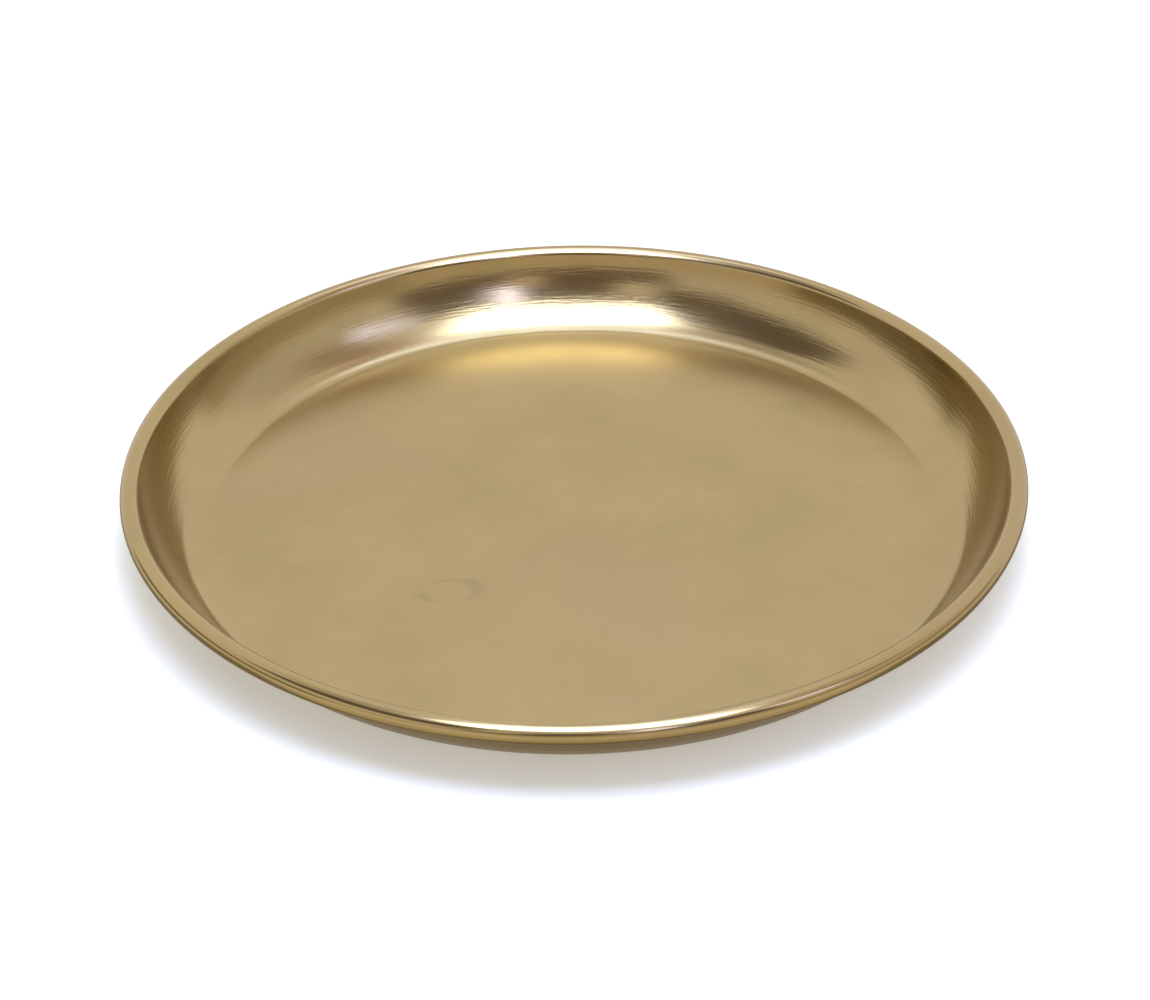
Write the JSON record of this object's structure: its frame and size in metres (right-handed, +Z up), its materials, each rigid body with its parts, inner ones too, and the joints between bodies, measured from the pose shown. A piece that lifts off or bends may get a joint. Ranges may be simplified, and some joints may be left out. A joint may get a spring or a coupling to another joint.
{
  "type": "offering plate",
  "caption": "Shallow round collection plate, spun from one sheet of gold-toned metal, with a flat floor, a curved wall and a rolled rim.",
  "frame": {"origin": "centre of the flat underside that the plate rests on", "axes": "+Z up along the plate's axis of revolution; X and Y are any two directions across the plate, because it is round"},
  "size_m": [0.3048, 0.3048, 0.0258],
  "materials": {
    "satin_brass": "satin, fine circular spin lines, lacquered",
    "steel_wire": "drawn steel wire, dull"
  },
  "bodies": {
    "root": {"spun_plate": "satin_brass", "rim_wire": "steel_wire"}
  },
  "joints": []
}
